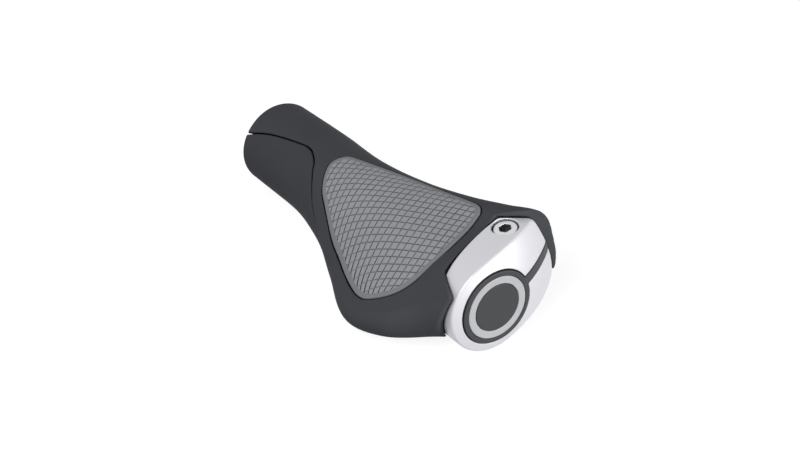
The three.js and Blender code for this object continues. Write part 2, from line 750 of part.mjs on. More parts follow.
const grip = new THREE.Group();
grip.add(pieceOf("inner_sleeve", makeSleeve(), { color: 0x2a2b2d, roughness: 0.6, metalness: 0 }));
grip.add(pieceOf("grip_body", rubber, { color: 0x3f4043, roughness: 0.75, metalness: 0 }));
grip.add(pieceOf("finger_panel", panel, { color: 0x3b3c3f, roughness: 0.8, metalness: 0 }));
grip.add(pieceOf("palm_pad", makePad(), { color: 0x8c8d8f, roughness: 0.8, metalness: 0 }));
grip.add(pieceOf("bar_clamp", makeClamp(), { color: 0xe9e9ec, roughness: 0.35, metalness: 0.6 }));
grip.add(pieceOf("clamp_screw", makeScrew(), { color: 0xb9babc, roughness: 0.25, metalness: 1 }));
grip.add(pieceOf("end_plug", makePlug(), { color: 0x4a4b50, roughness: 0.5, metalness: 0 }));
grip.add(pieceOf("plug_ring", ringInlay(0, 0), { color: 0xc8c9cc, roughness: 0.4, metalness: 0 }));

export default grip;
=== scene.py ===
import math

import bpy
import numpy as np
from mathutils import Matrix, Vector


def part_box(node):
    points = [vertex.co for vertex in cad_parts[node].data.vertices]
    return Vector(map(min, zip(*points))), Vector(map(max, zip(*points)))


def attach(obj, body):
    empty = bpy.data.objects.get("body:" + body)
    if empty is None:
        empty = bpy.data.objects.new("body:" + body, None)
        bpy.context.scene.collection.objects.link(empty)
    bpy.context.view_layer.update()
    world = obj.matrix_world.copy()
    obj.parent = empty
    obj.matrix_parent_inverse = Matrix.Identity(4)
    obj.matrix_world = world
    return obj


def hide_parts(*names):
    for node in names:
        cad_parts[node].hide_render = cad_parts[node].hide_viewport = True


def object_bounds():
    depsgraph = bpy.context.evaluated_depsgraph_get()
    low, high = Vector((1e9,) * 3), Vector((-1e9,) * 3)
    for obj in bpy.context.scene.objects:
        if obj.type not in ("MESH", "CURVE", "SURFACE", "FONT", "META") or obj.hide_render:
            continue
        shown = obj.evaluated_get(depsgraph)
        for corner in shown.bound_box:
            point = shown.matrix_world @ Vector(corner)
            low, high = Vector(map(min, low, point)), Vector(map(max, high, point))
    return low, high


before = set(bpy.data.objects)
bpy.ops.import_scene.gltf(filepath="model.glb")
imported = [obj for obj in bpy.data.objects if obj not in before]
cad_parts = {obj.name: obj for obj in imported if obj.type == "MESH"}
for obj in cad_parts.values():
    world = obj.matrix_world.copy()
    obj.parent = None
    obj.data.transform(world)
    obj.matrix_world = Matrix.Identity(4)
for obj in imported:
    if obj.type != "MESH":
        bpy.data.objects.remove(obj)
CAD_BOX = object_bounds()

# A lock-on handlebar grip for the right end of a flat bar.
#
# Its fine forms are written as distance fields in millimetres: a field is negative inside a
# piece and positive outside it. Pieces that meet use the same fields, so they keep their gaps.

MM = 0.001

# Bar, sleeve and the gaps between pieces
BORE_RADIUS = 11.2
SLEEVE_RADIUS = 13.0
COLLAR_RADIUS = 12.7
RUBBER_BORE = 13.3
CLAMP_BORE = 13.0
TUBE_RADIUS = 15.6
SEAT_GAP = 0.3

# Places along the bar, back from the plug's face
GRIP_LENGTH = 135
BODY_LENGTH = GRIP_LENGTH - 2
SLEEVE_LENGTH = GRIP_LENGTH - 5.4
COLLAR_START = GRIP_LENGTH - 20.5
END_ROUNDING = 1

# Cross-sections of the rubber: place as a share of its length, reach of the front shoulder,
# how far back and down the wing's edge lies, its radius and the softness of the blend
SECTION_AT = [0.0, 0.235, 0.4, 0.58, 0.73, 0.843, 0.925, 1.0]
SECTIONS = {
    "shoulder": [0, 1.1, 0.3, 5.5, 11.8, 18.1, 23, 22.1],
    "back": [1.3, 3.6, 11.1, 22.6, 30.4, 26.8, 16.5, 9.9],
    "drop": [0, 0.6, 4.1, 7.2, 9.2, 7.4, 3.1, -3.3],
    "edge": [9.8, 9.7, 7.4, 5.6, 5.6, 6.1, 8.2, 9.1],
    "blend": [2, 5, 8.8, 8.9, 9, 9, 7.7, 6],
}
SHOULDER = {"angle": 31.3, "stretch": 1, "taper": 0.156}
NOSE = {"angle": -3.2, "stretch": 1.17, "taper": 0.39}
WING_ROOT = {"back": 1, "rise": 3.5, "radius": 11}

# Finger panel: half its spread round the tube, in degrees, at each share of its length
PANEL_LENGTH = GRIP_LENGTH - 69
PANEL_CENTRE = 205
PANEL_GAP = 0.5
PANEL_AT = [0.0, 0.106, 0.18, 0.258, 0.336, 0.415, 0.464, 0.506, 0.547, 0.589, 0.615, 0.639,
            0.664, 0.692, 0.718, 0.744, 0.783, 0.826, 0.9, 1.0]
PANEL_HALF = [54, 66.3, 73.3, 78.8, 83.4, 87.5, 89.6, 89.4, 86.6, 81.4, 76.3, 68.6,
              61.2, 52.1, 44.1, 36.4, 28.4, 21.3, 11, 2]

# Palm pad: outline as distances back from its outboard tip and across the bar, on a plane
# that leans back with the wing
PAD_LEAN = 20
PAD_FLOOR = 3
PAD_THICKNESS = 2
PAD_PROUD = 0.25
PAD_END = GRIP_LENGTH - 18.1
PAD_OUTLINE = [
    (67.2, 4.9), (68.9, 2.4), (69.9, -0.8), (69.1, -4.2), (65.3, -9.9), (60.4, -13.3),
    (48.9, -19.9), (38.7, -23.9), (31.1, -26.9), (23.5, -29.3), (18.2, -30.3), (13.6, -29.1),
    (7.6, -23.6), (3.4, -16.4), (0.9, -9.2), (0, -2.7), (1.3, 5.7), (4.5, 14.4), (6, 17.1),
    (9.3, 18.8), (15.9, 18.2), (31.1, 15.7), (44, 12.7), (53.9, 9.5), (63.4, 6.4),
]

# Tiles of the pad, between two families of curved grooves. A groove lies where its family's
# count is whole. u runs along the bar and v across it, as shares of the field's size, and the
# terms of a count belong to 1, u, v, uu, uv, vv, uuu, uuv, uvv, vvv, uuuu, uuuv, uuvv, uvvv
# and vvvv
TILE_FIELD = {"back": 34.9, "across": -5, "length": 30, "width": 20}
STEEP_GROOVES = (
    0.527, 10.604, 1.25, -0.681, -0.08, 0.577, 0.201, 0.24,
    1.165, 1.08, 0.239, -0.351, 0.346, -0.72, -1.223,
)
SHALLOW_GROOVES = (
    0.26, -5.496, 7.53, 0.963, -0.236, -0.381, -0.136, -0.079,
    -0.846, -0.916, -0.223, 0.399, -0.126, 0.61, 1.03,
)
TILE_RIM = 2
TILE_SINK = 0.05
GROOVE_DEPTH = 0.5
GROOVE_HALF = 0.28
TILE_CUSHION = 0.05
CUSHION_REACH = 0.35
PLATE_FLOOR = 1.1

# Search for the place of each count: grooves tried to each side, steps, how closely a count has
# to be met, and bounds in shares of the field. A place whose counts aren't met goes off the pad
TILE_COUNT = 18
PLACE_STEPS = 12
COUNT_SLACK = 0.01
FIELD_REACH = 3
OFF_THE_PAD = 9

# Search for the height of the pad's skin over its plane
LIFT_TOP = 40
LIFT_STEPS = 18

# Mesh lines of one tile as shares of its width, close together at the grooves
TILE_SHARES = (0, 0.035, 0.07, 0.105, 0.15, 0.3, 0.5, 0.7, 0.85, 0.895, 0.93, 0.965)

# Clamp: a ring round the collar with an ear that carries the screw
RING_RADIUS = 17.4
RING_UPPER = 117
RING_LOWER = -71
EAR_TOP = 21.4
EAR_FRONT = 22
EAR_CORNER = 1.8
EAR_BULGE = (6.8, 8)
EAR_NOSE = {"y": 28.8, "z": -4, "radius": 3.4, "end": 15}
CLAMP_ROUND = 0.7
CLAMP_CUT_ROUND = 0.5
CLAMP_BACK = GRIP_LENGTH - 18.1
SEAT_X = GRIP_LENGTH - 14.8
SEAT_TURN = 13.9
BEVEL_POINT = (GRIP_LENGTH - 11.1, 22.1, EAR_TOP)
BEVEL_NORMAL = (-0.651, 0.496, 0.574)
FACE_RADIUS = 46.5
FACE_RISE = 1.5
SLOT_WIDTH = 3.2
SLOT_ANGLE = 16.2
SLOT_LIFT = 1.9

# Rubber's rim round the clamp, with a lip that reaches forward over the ear's nose. The lip's
# end bulges outboard round one level
RIM_ROUND = 0.7
RIM_X = GRIP_LENGTH - 6.8
RIM_NORMAL = (1, 0.0985, -0.287)
OPENING_POINT = (GRIP_LENGTH - 12, -12.4, 12.2)
OPENING_NORMAL = (0.516, 0.531, 0.669)
OPENING_FLOOR = 8
LIP_X = GRIP_LENGTH - 12.4
LIP_BULGE = 1.85
LIP_LEVEL = 4.5
LIP_SPREAD = 8
LIP_SIDE = (0.795, -0.606, 0)
LIP_INNER = 10
LIP_TIP = -3.6

# Swell of the rubber over the clamp's back corner: a short bar along X under the skin
SWELL = {"y": -8, "z": 5.5, "radius": 9.3, "start": GRIP_LENGTH - 14, "soft": 3}

# Screw across the slot
SCREW_LEAN = 13.3
SCREW_X = GRIP_LENGTH - 12.5
SCREW_REACH = 16.3
SCREW_RADIUS = 2.5
SCREW_LENGTH = 25
SCREW_TOP = 17
HEAD_RADIUS = 4.25
HEAD_HEIGHT = 4.6
HEAD_ROUND = 0.9
HEAD_GAP = 1.4 * SEAT_GAP
SOCKET_FLATS = 4
SOCKET_DEPTH = 2.6
SOCKET_ROUND = 0.25
# Thin dark cup of painted shade just inside the screw's socket
LINING_WALL = 0.1
LINING_SETBACK = 0.3
LINING_GAP = 0.01

# End plug and the ring let into its face
PLUG_RADIUS = 13.5
PLUG_THICKNESS = 4.8
PLUG_RIM = 2
PLUG_CHAMFER = 0.1
PLUG_ROUND = 0.2
RING_INNER = 8.9
RING_OUTER = 11.6
RING_DEPTH = 0.9
RING_ROUND = 0.3
TONGUE_DEPTH = 3
TONGUE_SINK = 0.1

# Roundings of the moulded edges, and the mesh steps that show each piece's finest form
PARTING_ROUND = 0.6
PAD_ROUND = 0.5
SLEEVE_ROUND = 0.6
RUBBER_STEP = 0.55
PAD_STEP = 0.45
SLEEVE_STEP = 0.55
CLAMP_STEP = 0.25
PLUG_STEP = 0.25
RING_STEP = 0.2
SCREW_STEP = 0.16
GRID_MARGIN = 1

# Settling of a mesh on its surface: steps, reach of a slope's samples, the least slope trusted
# and the longest move as a share of the mesh step
SETTLE_STEPS = 3
SLOPE_REACH = 0.04
LEAST_SLOPE = 0.2
LONGEST_MOVE = 0.4

# Camera, fitted to the round ends of the grip in the photograph
CAMERA_AZIMUTH = 35.02
CAMERA_ELEVATION = 31.89
CAMERA_DISTANCE = 834.785
CAMERA_ASIDE = (45.329, -31.219)
CAMERA_LENS = 101.25
CAMERA_SENSOR = 36

# Floor and light, in metres and watts
FLOOR_HALF = 4
FLOOR_DROP = 0.0003
FLOOR_COLOUR = (0.3, 0.3, 0.3, 1)
FLOOR_GLOW = 0.88
ROOM_LIGHT = 0.15
WHITE = (1, 1, 1, 1)
LAMP_TARGET = (0.067, 0, 0)


# Fields

def through(places, values, at):
    """Smooth curve through values at rising places."""
    places = np.asarray(places, float)
    values = np.asarray(values, float)
    before = np.maximum(np.arange(len(places)) - 1, 0)
    after = np.minimum(np.arange(len(places)) + 1, len(places) - 1)
    slopes = (values[after] - values[before]) / (places[after] - places[before])
    at = np.clip(at, places[0], places[-1])
    i = np.clip(np.searchsorted(places, at, side="left") - 1, 0, len(places) - 2)
    width = places[i + 1] - places[i]
    t = (at - places[i]) / width
    rise = 3 * t**2 - 2 * t**3
    start = t * (1 - t) ** 2 * width * slopes[i]
    end = t**2 * (t - 1) * width * slopes[i + 1]
    return values[i] * (1 - rise) + values[i + 1] * rise + start + end


def meet(*fields, soft=0.5):
    """What all fields share, with its edges rounded off."""
    result = fields[0]
    for field in fields[1:]:
        overlap = np.maximum(soft - np.abs(result - field), 0)
        result = np.maximum(result, field) + overlap**2 / (4 * soft)
    return result


def join(*fields, soft=0.3):
    """All fields together, with a small fillet where they meet."""
    return -meet(*[-field for field in fields], soft=soft)


def side_of(x, y, z, point, normal):
    """Negative behind a plane."""
    length = math.sqrt(sum(n * n for n in normal))
    dx, dy, dz = (x - point[0], y - point[1], z - point[2])
    return (dx * normal[0] + dy * normal[1] + dz * normal[2]) / length


def tapered_bar(y, z, start, end):
    """Smooth hull of two discs, each given as y, z and radius."""
    (y0, z0, r0), (y1, z1, r1) = start, end
    length = np.maximum(np.hypot(y1 - y0, z1 - z0), 1e-6)
    along = ((y - y0) * (y1 - y0) + (z - z0) * (z1 - z0)) / length
    across = np.abs((z - z0) * (y1 - y0) - (y - y0) * (z1 - z0)) / length
    lean = np.clip((r0 - r1) / length, -0.99, 0.99)
    square = np.sqrt(1 - lean**2)
    foot = along - across * lean / square
    straight = across * square + along * lean - r0
    near = np.hypot(along, across) - r0
    far = np.hypot(along - length, across) - r1
    return np.where(foot <= 0, near, np.where(foot >= length, far, straight))


def front_disc(disc, reach):
    """Disc in front of the tube, for the shoulder or its nose, as y, z and radius."""
    angle = math.radians(disc["angle"])
    out = reach * disc["stretch"]
    return out * math.cos(angle), out * math.sin(angle), TUBE_RADIUS - disc["taper"] * reach


def rubber_form(x, y, z):
    """Cross-section of the rubber at x, from the tube to the wing and the shoulder."""
    at = x / BODY_LENGTH
    row = {key: through(SECTION_AT, values, at) for key, values in SECTIONS.items()}
    axis = (0, 0, TUBE_RADIUS)
    shoulder = front_disc(SHOULDER, row["shoulder"])
    nose = front_disc(NOSE, row["shoulder"])
    tube = np.minimum(tapered_bar(y, z, axis, shoulder), tapered_bar(y, z, axis, nose))
    tube = np.minimum(tube, tapered_bar(y, z, shoulder, nose))
    root = (-WING_ROOT["back"], WING_ROOT["rise"], WING_ROOT["radius"])
    wing = tapered_bar(y, z, root, (-row["back"], -row["drop"], row["edge"]))
    overlap = np.maximum(row["blend"] - np.abs(tube - wing), 0) / row["blend"]
    return np.minimum(tube, wing) - overlap**2 * row["blend"] * 0.25


def outline_field(u, v, outline):
    """Distance from a closed outline of points, negative inside it."""
    shape = np.broadcast(u, v).shape
    u = np.broadcast_to(u, shape)
    v = np.broadcast_to(v, shape)
    nearest = np.full(shape, np.inf)
    inside = np.zeros(shape, bool)
    ends = np.roll(outline, -1, axis=0)
    for (u0, v0), (u1, v1) in zip(outline, ends):
        du, dv = u1 - u0, v1 - v0
        share = np.clip(((u - u0) * du + (v - v0) * dv) / (du * du + dv * dv), 0, 1)
        nearest = np.minimum(nearest, (u - u0 - share * du) ** 2 + (v - v0 - share * dv) ** 2)
        crosses = (v0 > v) != (v1 > v)
        if dv:
            inside ^= crosses & (u < u0 + (v - v0) * du / dv)
    return np.where(inside, -1, 1) * np.sqrt(nearest)


def smooth_loop(points, steps=4):
    """Closed curve through points."""
    points = np.asarray(points, float)
    before, after = np.roll(points, 1, axis=0), np.roll(points, -1, axis=0)
    beyond = np.roll(points, -2, axis=0)
    rows = []
    for t in np.arange(steps) / steps:
        rows.append(0.5 * (
            2 * points
            + (after - before) * t
            + (2 * before - 5 * points + 4 * after - beyond) * t**2
            + (3 * points - before - 3 * after + beyond) * t**3
        ))
    return np.stack(rows, axis=1).reshape(-1, 2)


def arc(centre, radius, start, end, steps):
    """Points on a circle between two angles in degrees."""
    angles = np.radians(np.linspace(start, end, steps + 1))
    return [(centre[0] + radius * math.cos(a), centre[1] + radius * math.sin(a)) for a in angles]


def bow(start, pull, end, steps=12):
    """Curve from start to end, pulled towards a point; start is left out."""
    points = []
    for t in np.arange(1, steps + 1) / steps:
        points.append(tuple(
            (1 - t) ** 2 * a + 2 * t * (1 - t) * b + t * t * c
            for a, b, c in zip(start, pull, end)
        ))
    return points


def clamp_outline():
    """Ring and ear as one closed outline in the YZ plane."""
    ring = arc((0, 0), RING_RADIUS, RING_UPPER, RING_LOWER + 360, 72)
    nose = arc((EAR_NOSE["y"], EAR_NOSE["z"]), EAR_NOSE["radius"], RING_LOWER, EAR_NOSE["end"], 14)
    corner = (EAR_FRONT + EAR_CORNER / 2, EAR_TOP - EAR_CORNER)
    top = (EAR_FRONT - EAR_CORNER, EAR_TOP)
    start_y, start_z = ring[0]
    meet_y = start_y + (EAR_TOP - start_z) / math.tan(math.radians(RING_UPPER - 90))
    points = ring + nose
    points += bow(nose[-1], (EAR_FRONT + EAR_BULGE[0], EAR_BULGE[1]), corner)
    points += bow(corner, (EAR_FRONT, EAR_TOP), top, 6)
    points += bow(top, (meet_y, EAR_TOP), ring[0])[:-1]
    return np.array(points)


CLAMP_LINE = clamp_outline()
PAD_LINE = smooth_loop([(PAD_END - back, across) for back, across in PAD_OUTLINE])


def turned(y, z, degrees):
    """Along and across a direction that rises towards the front."""
    angle = math.radians(degrees)
    return y * math.cos(angle) + z * math.sin(angle), z * math.cos(angle) - y * math.sin(angle)


def pad_outline_field(x, y, z):
    """Negative inside the pad's outline and above its lowest level."""
    across, rise = turned(y, z, PAD_LEAN)
    return np.maximum(outline_field(x, across, PAD_LINE), PAD_FLOOR - rise)


def panel_field(x, y, z):
    """Sector round the tube that the finger panel fills."""
    def half(place):
        return np.radians(through(PANEL_AT, PANEL_HALF, place / PANEL_LENGTH))

    turn = np.abs(np.angle(np.exp(1j * (np.arctan2(z, y) - math.radians(PANEL_CENTRE)))))
    radius = np.hypot(y, z)
    slope = (half(x + 0.5) - half(x - 0.5)) * radius
    side = (turn - half(x)) * radius / np.sqrt(1 + slope**2)
    return np.maximum(side, x - PANEL_LENGTH)


def clamp_seat(x, y, z):
    """Negative on the outboard side of the face that the clamp backs onto."""
    turn = math.radians(SEAT_TURN)
    seat = -side_of(x, y, z, (SEAT_X, 0, 0), (math.cos(turn), math.sin(turn), 0))
    return np.maximum(seat, CLAMP_BACK - x)


def clamp_bevel(x, y, z):
    """Negative under the slanted facet at the screw."""
    return side_of(x, y, z, BEVEL_POINT, BEVEL_NORMAL)


def clamp_face(x, y, z):
    """Negative behind the domed end face."""
    centre = GRIP_LENGTH + FACE_RISE - FACE_RADIUS
    return np.sqrt((x - centre) ** 2 + y**2 + z**2) - FACE_RADIUS


def whole_rubber(x, y, z):
    """Rubber with its rim, its lip and the clamp's pocket, before the pad and panel are split."""
    form = rubber_form(x, y, z)
    form = meet(form, -x, soft=1.6 * END_ROUNDING)

    # The swell is round at its inboard end and runs on straight outboard
    before = np.maximum(SWELL["start"] - x, 0)
    swell = np.sqrt(before**2 + (y - SWELL["y"]) ** 2 + (z - SWELL["z"]) ** 2) - SWELL["radius"]
    form = join(form, swell, soft=SWELL["soft"])

    # The rubber ends at the rim. Its lip ends sooner, at a bulging edge and a lower tip
    rim = side_of(x, y, z, (RIM_X, 0, 0), RIM_NORMAL)
    lip_end = LIP_X + LIP_BULGE * np.exp(-(((z - LIP_LEVEL) / LIP_SPREAD) ** 2))
    past_lip = np.maximum(lip_end - x, LIP_INNER - y)
    below_lip = np.maximum(np.maximum(z - LIP_TIP, LIP_INNER - y), clamp_seat(x, y, z) - SEAT_GAP)

    # The clamp sits in a pocket, which opens above its slanted facet
    ring = outline_field(y, z, CLAMP_LINE) - SEAT_GAP
    pocket = np.maximum(ring, clamp_seat(x, y, z) - SEAT_GAP)
    pocket = np.maximum(pocket, clamp_bevel(x, y, z) - SEAT_GAP)
    above = -side_of(x, y, z, OPENING_POINT, OPENING_NORMAL)
    above = np.maximum(above, clamp_seat(x, y, z) - SEAT_GAP)
    above = np.maximum(above, -side_of(x, y, z, BEVEL_POINT, LIP_SIDE))
    above = np.maximum(above, np.maximum(OPENING_FLOOR - z, y - EAR_FRONT - 2 * SEAT_GAP))
    bore = np.where(x < COLLAR_START + SEAT_GAP, RUBBER_BORE, CLAMP_BORE) - np.hypot(y, z)
    form = meet(form, rim, -past_lip, -below_lip, -pocket, -above, soft=RIM_ROUND)
    return np.maximum(form, bore)


def body_field(x, y, z):
    """Rubber without the pad's recess and the finger panel."""
    form = whole_rubber(x, y, z)
    recess = np.maximum(pad_outline_field(x, y, z) - SEAT_GAP,
                        -rubber_form(x, y, z) - PAD_THICKNESS - SEAT_GAP)
    form = meet(form, -recess, soft=PAD_ROUND)
    return meet(form, PANEL_GAP / 2 - panel_field(x, y, z), soft=PARTING_ROUND)


def finger_panel_field(x, y, z):
    """Rubber's part inside the panel's sector."""
    form = whole_rubber(x, y, z)
    return meet(form, panel_field(x, y, z) + PANEL_GAP / 2, soft=PARTING_ROUND)


def pad_field(x, y, z):
    """Pad with its smooth rim, recessed inside it for the tiles."""
    form = rubber_form(x, y, z)
    top = form - PAD_PROUD
    outline = pad_outline_field(x, y, z)
    recess = np.maximum(outline + TILE_RIM, -top - 2 * GROOVE_DEPTH)
    return np.maximum(meet(top, outline, -recess, soft=PAD_ROUND), -form - PAD_THICKNESS)


def clamp_field(x, y, z):
    """Clamp with its bore, its slot and the screw's counterbored hole."""
    outline = outline_field(y, z, CLAMP_LINE)
    body = meet(outline, clamp_face(x, y, z), clamp_bevel(x, y, z), clamp_seat(x, y, z),
                soft=CLAMP_ROUND)
    reach = np.hypot(y, z)
    bore = CLAMP_BORE - reach
    plug_seat = np.minimum(PLUG_RADIUS + SEAT_GAP - reach,
                           x - GRIP_LENGTH + PLUG_THICKNESS + SEAT_GAP)
    along, across = turned(y, z, SLOT_ANGLE)
    slot = np.minimum(SLOT_WIDTH / 2 + SEAT_GAP - np.abs(across - SLOT_LIFT), along)
    along, across = turned(y, z, SCREW_LEAN)
    screw = np.hypot(x - SCREW_X, along - SCREW_REACH)
    shank = SCREW_RADIUS + SEAT_GAP - screw
    floor = SCREW_TOP - HEAD_HEIGHT - SEAT_GAP
    head = np.minimum(HEAD_RADIUS + HEAD_GAP - screw, across - floor)
    return meet(body, bore, plug_seat, slot, shank, head, soft=CLAMP_CUT_ROUND)


def plug_field(x, y, z):
    """Plug's disc with the ring's groove, and its tongue in the clamp's slot."""
    reach = np.hypot(y, z)
    slope = (PLUG_RIM, PLUG_CHAMFER, 0)
    chamfer = side_of(x, reach, 0, (GRIP_LENGTH, PLUG_RADIUS - PLUG_RIM, 0), slope)
    back = GRIP_LENGTH - PLUG_THICKNESS - x
    disc = meet(reach - PLUG_RADIUS, x - GRIP_LENGTH, chamfer, back, soft=PLUG_ROUND)
    middle = (RING_INNER + RING_OUTER) / 2
    half = (RING_OUTER - RING_INNER) / 2 + SEAT_GAP / 2
    groove = np.minimum(half - np.abs(reach - middle), x - GRIP_LENGTH + RING_DEPTH + SEAT_GAP)
    along, across = turned(y, z, SLOT_ANGLE)
    face = clamp_face(x, y, z)
    outline = outline_field(y, z, CLAMP_LINE)
    tongue = meet(np.abs(across - SLOT_LIFT) - SLOT_WIDTH / 2, face + TONGUE_SINK,
                  outline + TONGUE_SINK)
    tongue = np.maximum(tongue, np.maximum(-face - TONGUE_DEPTH, PLUG_RADIUS - PLUG_RIM - along))
    return join(meet(disc, groove, soft=PLUG_ROUND), tongue)


def ring_field(x, y, z):
    """Ring let into the plug's face."""
    reach = np.hypot(y, z)
    middle = (RING_INNER + RING_OUTER) / 2
    half = (RING_OUTER - RING_INNER) / 2
    return meet(np.abs(reach - middle) - half, x - GRIP_LENGTH, GRIP_LENGTH - RING_DEPTH - x,
                soft=RING_ROUND)


def screw_field(x, along, across):
    """Screw in its own frame, with its axis across the slot."""
    reach = np.hypot(x - SCREW_X, along - SCREW_REACH)
    head = meet(reach - HEAD_RADIUS, across - SCREW_TOP, SCREW_TOP - HEAD_HEIGHT - across,
                soft=HEAD_ROUND)
    end = SCREW_TOP - HEAD_HEIGHT - SCREW_LENGTH
    shank = np.maximum(reach - SCREW_RADIUS, np.maximum(end - across, across - SCREW_TOP + 1))
    socket = SCREW_TOP - SOCKET_DEPTH - across
    for turn in (0, 60, 120):
        angle = math.radians(turn)
        flat = (x - SCREW_X) * math.cos(angle) + (along - SCREW_REACH) * math.sin(angle)
        socket = np.maximum(socket, np.abs(flat) - SOCKET_FLATS / 2)
    return meet(np.minimum(head, shank), -socket, soft=SOCKET_ROUND)


def sleeve_field(x, y, z):
    """Tube under the rubber, thinner at the collar."""
    reach = np.hypot(y, z)
    outside = np.where(x < COLLAR_START, SLEEVE_RADIUS, COLLAR_RADIUS)
    wall = meet(reach - outside, BORE_RADIUS - reach, -x, soft=SLEEVE_ROUND)
    return np.maximum(wall, x - SLEEVE_LENGTH)


# Meshes

def corners_of(value, offset):
    """The value at one of the eight corners of every cell of a grid."""
    i, j, k = offset
    a, b, c = value.shape
    return value[i:a - 1 + i, j:b - 1 + j, k:c - 1 + k]


def field_mesh(field, low, high, step):
    """Closed mesh of quads on the surface where a field is zero."""
    axes = [np.arange(lo, hi + step, step) for lo, hi in zip(low, high)]
    grid = np.meshgrid(*axes, indexing="ij", sparse=True)
    value = np.ascontiguousarray(np.broadcast_to(field(*grid), [len(a) for a in axes]))
    inside = value < 0

    # Each cell that the surface passes through gets one point, at the mean of its crossings
    offsets = [(i, j, k) for i in (0, 1) for j in (0, 1) for k in (0, 1)]
    count = sum(corners_of(inside, offset).astype(np.uint8) for offset in offsets)
    mixed = (count > 0) & (count < 8)
    number = np.full(mixed.shape, -1)
    number[mixed] = np.arange(mixed.sum())
    cells = np.argwhere(mixed)
    total = np.zeros((len(cells), 3))
    hits = np.zeros(len(cells))
    for axis in range(3):
        unit = np.eye(3, dtype=int)[axis]
        for offset in offsets:
            if offset[axis]:
                continue
            a = value[tuple((cells + offset).T)]
            b = value[tuple((cells + offset + unit).T)]
            crosses = (a < 0) != (b < 0)
            share = np.where(crosses, a / np.where(crosses, a - b, 1), 0)
            point = np.array(offset) + share[:, None] * unit
            total += point * crosses[:, None]
            hits += crosses
    points = np.array(low) + step * (cells + total / hits[:, None])

    # Each grid edge that the surface crosses gets a quad of its four cells, facing outwards
    faces = []
    for axis in range(3):
        unit, u, v = np.roll(np.eye(3, dtype=int), -axis, axis=0)
        ahead = np.roll(inside, -1, axis=axis)
        change = inside != ahead
        change[tuple(slice(-1, None) if a == axis else slice(None) for a in range(3))] = False
        edges = np.argwhere(change)
        ring = [edges - u - v, edges - v, edges, edges - u]
        quad = np.stack([number[tuple(cell.T)] for cell in ring], axis=1)
        outward = inside[tuple(edges.T)]
        quad[~outward] = quad[~outward][:, ::-1]
        faces.append(quad)
    return points, np.concatenate(faces)


def slope_of(field, points):
    """Slope of a field at points, and its steepness, kept away from zero."""
    slopes = []
    for axis in np.eye(3) * SLOPE_REACH:
        ahead = field(*(points + axis).T)
        behind = field(*(points - axis).T)
        slopes.append((ahead - behind) / (2 * SLOPE_REACH))
    slope = np.stack(slopes, axis=1)
    return slope, np.maximum(np.linalg.norm(slope, axis=1, keepdims=True), LEAST_SLOPE)


def settle(field, points, step):
    """Moves points onto the surface and returns them with its normals."""
    for turn in range(SETTLE_STEPS):
        slope, steep = slope_of(field, points)
        move = field(*points.T)[:, None] * slope / steep**2
        size = np.linalg.norm(move, axis=1, keepdims=True)
        points = points - move * np.minimum(1, LONGEST_MOVE * step / np.maximum(size, 1e-9))
    slope, steep = slope_of(field, points)
    return points, slope / steep


def piece_from(name, points, faces, normals, material, node):
    """Smooth-shaded piece from points in millimetres."""
    mesh = bpy.data.meshes.new(name)
    mesh.from_pydata((points * MM).tolist(), [], [list(face) for face in faces])
    mesh.polygons.foreach_set("use_smooth", [True] * len(mesh.polygons))
    if normals is not None:
        mesh.normals_split_custom_set_from_vertices(normals.tolist())
    mesh.materials.append(material)
    piece = bpy.data.objects.new(name, mesh)
    bpy.context.scene.collection.objects.link(piece)
    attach(piece, "root")
    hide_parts(node)
    return piece


def moulded(name, field, node, step, material, place=None):
    """Piece from its field, in the box of the CAD node that it replaces or in a given one."""
    low, high = (np.array(corner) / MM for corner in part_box(node))
    if place is not None:
        low, high = place
    margin = 2 * step + GRID_MARGIN
    points, faces = field_mesh(field, low - margin, high + margin, step)
    points, normals = settle(field, points, step)
    return piece_from(name, points, faces, normals, material, node)


# Tiles

def groove_count(terms, u, v):
    """Grooves of one family passed at u, v, and how fast they pass along and across in mm."""
    one, zero = np.ones_like(u), np.zeros_like(u)
    uu, uv, vv = u * u, u * v, v * v
    powers = [one, u, v, uu, uv, vv, uu * u, uu * v, vv * u, vv * v,
              uu * uu, uu * uv, uu * vv, uv * vv, vv * vv]
    by_u = [zero, one, zero, 2 * u, v, zero, 3 * uu, 2 * uv, vv, zero,
            4 * uu * u, 3 * uu * v, 2 * vv * u, vv * v, zero]
    by_v = [zero, zero, one, zero, u, 2 * v, zero, uu, 2 * uv, 3 * vv,
            zero, uu * u, 2 * uu * v, 3 * vv * u, 4 * vv * v]
    count, along, across = (
        sum(t * p for t, p in zip(terms, part)) for part in (powers, by_u, by_v)
    )
    return count, along / TILE_FIELD["length"], across / TILE_FIELD["width"]


def tile_places(steep, shallow):
    """Places on the pad's plane where both counts are met, and how far the grooves are."""
    u, v = np.zeros_like(steep), np.zeros_like(steep)
    for turn in range(PLACE_STEPS):
        a, a_along, a_across = groove_count(STEEP_GROOVES, u, v)
        b, b_along, b_across = groove_count(SHALLOW_GROOVES, u, v)
        spread = a_along * b_across - a_across * b_along
        along = ((steep - a) * b_across - (shallow - b) * a_across) / spread
        across = ((shallow - b) * a_along - (steep - a) * b_along) / spread
        u = np.clip(u + along / TILE_FIELD["length"], -FIELD_REACH, FIELD_REACH)
        v = np.clip(v + across / TILE_FIELD["width"], -FIELD_REACH, FIELD_REACH)
    grooves = []
    missed = 0
    for terms, wanted in ((STEEP_GROOVES, steep), (SHALLOW_GROOVES, shallow)):
        count, along, across = groove_count(terms, u, v)
        grooves.append(np.abs(count - np.round(count)) / np.hypot(along, across))
        missed = np.maximum(missed, np.abs(count - wanted))
    u = np.where(missed > COUNT_SLACK, OFF_THE_PAD, u)
    x = PAD_END - TILE_FIELD["back"] + u * TILE_FIELD["length"]
    return x, TILE_FIELD["across"] + v * TILE_FIELD["width"], grooves


